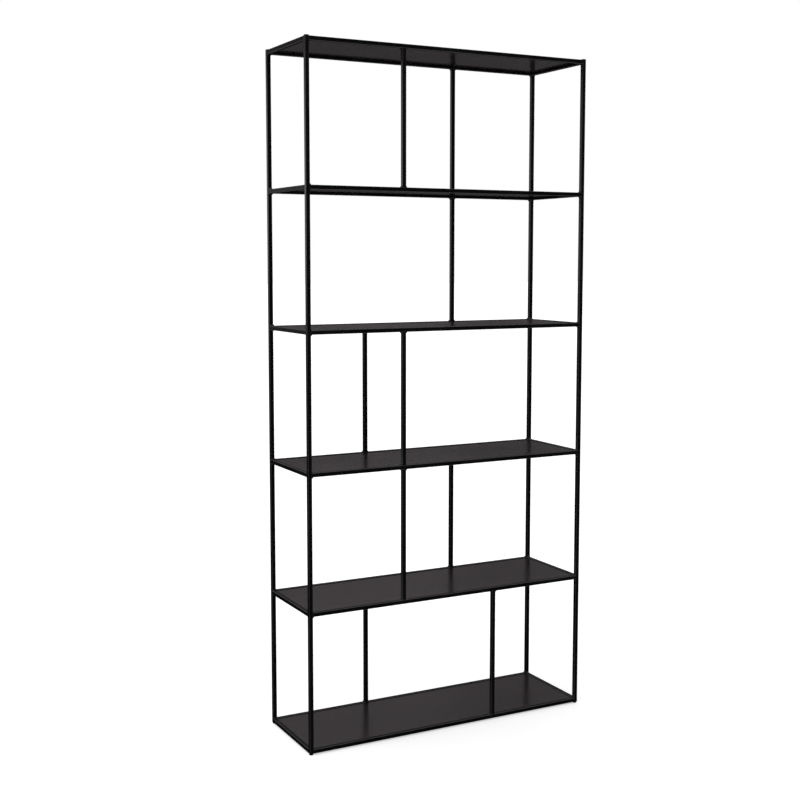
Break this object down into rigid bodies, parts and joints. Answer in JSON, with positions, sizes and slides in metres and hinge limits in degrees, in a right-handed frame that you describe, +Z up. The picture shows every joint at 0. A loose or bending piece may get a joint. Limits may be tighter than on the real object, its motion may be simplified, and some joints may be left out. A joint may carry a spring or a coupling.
{
  "type": "zigzag bookshelf",
  "caption": "Tall open bookshelf: thin sheet shelves in a welded frame of slim square steel tube, with short uprights staggered between the front and back rails, on levelling feet.",
  "frame": {"origin": "on the floor, below the middle of the plan", "axes": "+X to the right and +Y to the back, seen from the front, +Z up"},
  "size_m": [0.93, 0.29, 2.0185],
  "materials": {
    "powder_coated_tube": "satin black powder coat on square steel tube",
    "powder_coated_sheet": "satin black powder coat on steel sheet",
    "powder_coated_weld": "satin black powder coat over weld beads",
    "black_plastic": "moulded black plastic, fine matte grain",
    "zinc_plated_screw": "zinc-plated steel screw"
  },
  "bodies": {
    "frame": {"front_left_post": "powder_coated_tube", "front_right_post": "powder_coated_tube", "back_left_post": "powder_coated_tube", "back_right_post": "powder_coated_tube", "shelf_1_front_rail": "powder_coated_tube", "shelf_1_back_rail": "powder_coated_tube", "shelf_1_left_rail": "powder_coated_tube", "shelf_1_right_rail": "powder_coated_tube", "shelf_2_front_rail": "powder_coated_tube", "shelf_2_back_rail": "powder_coated_tube", "shelf_2_left_rail": "powder_coated_tube", "shelf_2_right_rail": "powder_coated_tube", "shelf_3_front_rail": "powder_coated_tube", "shelf_3_back_rail": "powder_coated_tube", "shelf_3_left_rail": "powder_coated_tube", "shelf_3_right_rail": "powder_coated_tube", "shelf_4_front_rail": "powder_coated_tube", "shelf_4_back_rail": "powder_coated_tube", "shelf_4_left_rail": "powder_coated_tube", "shelf_4_right_rail": "powder_coated_tube", "shelf_5_front_rail": "powder_coated_tube", "shelf_5_back_rail": "powder_coated_tube", "shelf_5_left_rail": "powder_coated_tube", "shelf_5_right_rail": "powder_coated_tube", "shelf_6_front_rail": "powder_coated_tube", "shelf_6_back_rail": "powder_coated_tube", "shelf_6_left_rail": "powder_coated_tube", "shelf_6_right_rail": "powder_coated_tube", "shelf_1_panel": "powder_coated_sheet", "shelf_2_panel": "powder_coated_sheet", "shelf_3_panel": "powder_coated_sheet", "shelf_4_panel": "powder_coated_sheet", "shelf_5_panel": "powder_coated_sheet", "shelf_6_panel": "powder_coated_sheet", "bay_1_front_divider": "powder_coated_tube", "bay_2_front_divider": "powder_coated_tube", "bay_3_front_divider": "powder_coated_tube", "bay_5_front_divider": "powder_coated_tube", "bay_1_back_divider": "powder_coated_tube", "bay_2_back_divider": "powder_coated_tube", "bay_3_back_divider": "powder_coated_tube", "bay_4_back_divider": "powder_coated_tube", "bay_5_back_divider": "powder_coated_tube", "shelf_1_welds": "powder_coated_weld", "shelf_2_welds": "powder_coated_weld", "shelf_3_welds": "powder_coated_weld", "shelf_4_welds": "powder_coated_weld", "shelf_5_welds": "powder_coated_weld", "shelf_6_welds": "powder_coated_weld", "post_top_plugs": "black_plastic", "foot_inserts": "black_plastic"},
    "front_left_pad": {"front_left_foot_pad": "black_plastic"},
    "front_left_stem": {"front_left_foot_stem": "zinc_plated_screw"},
    "front_right_pad": {"front_right_foot_pad": "black_plastic"},
    "front_right_stem": {"front_right_foot_stem": "zinc_plated_screw"},
    "back_left_pad": {"back_left_foot_pad": "black_plastic"},
    "back_left_stem": {"back_left_foot_stem": "zinc_plated_screw"},
    "back_right_pad": {"back_right_foot_pad": "black_plastic"},
    "back_right_stem": {"back_right_foot_stem": "zinc_plated_screw"}
  },
  "joints": [
    {"name": "front_left_foot_travel", "type": "slide", "parent": "frame", "child": "front_left_pad", "axis": [0, 0, -1], "range_m": [0, 0.008]},
    {"name": "front_left_foot_screw", "type": "hinge", "parent": "front_left_pad", "child": "front_left_stem", "pos_m": [-0.459, -0.139, 0], "axis": [0, 0, -1], "range_deg": [0, 3600]},
    {"name": "front_right_foot_travel", "type": "slide", "parent": "frame", "child": "front_right_pad", "axis": [0, 0, -1], "range_m": [0, 0.008]},
    {"name": "front_right_foot_screw", "type": "hinge", "parent": "front_right_pad", "child": "front_right_stem", "pos_m": [0.459, -0.139, 0], "axis": [0, 0, -1], "range_deg": [0, 3600]},
    {"name": "back_left_foot_travel", "type": "slide", "parent": "frame", "child": "back_left_pad", "axis": [0, 0, -1], "range_m": [0, 0.008]},
    {"name": "back_left_foot_screw", "type": "hinge", "parent": "back_left_pad", "child": "back_left_stem", "pos_m": [-0.459, 0.139, 0], "axis": [0, 0, -1], "range_deg": [0, 3600]},
    {"name": "back_right_foot_travel", "type": "slide", "parent": "frame", "child": "back_right_pad", "axis": [0, 0, -1], "range_m": [0, 0.008]},
    {"name": "back_right_foot_screw", "type": "hinge", "parent": "back_right_pad", "child": "back_right_stem", "pos_m": [0.459, 0.139, 0], "axis": [0, 0, -1], "range_deg": [0, 3600]}
  ],
  "couplings": [
    {"joint": "front_left_foot_screw", "follows": "front_left_foot_travel", "rad_per_m": 7854},
    {"joint": "front_right_foot_screw", "follows": "front_right_foot_travel", "rad_per_m": 7854},
    {"joint": "back_left_foot_screw", "follows": "back_left_foot_travel", "rad_per_m": 7854},
    {"joint": "back_right_foot_screw", "follows": "back_right_foot_travel", "rad_per_m": 7854}
  ]
}
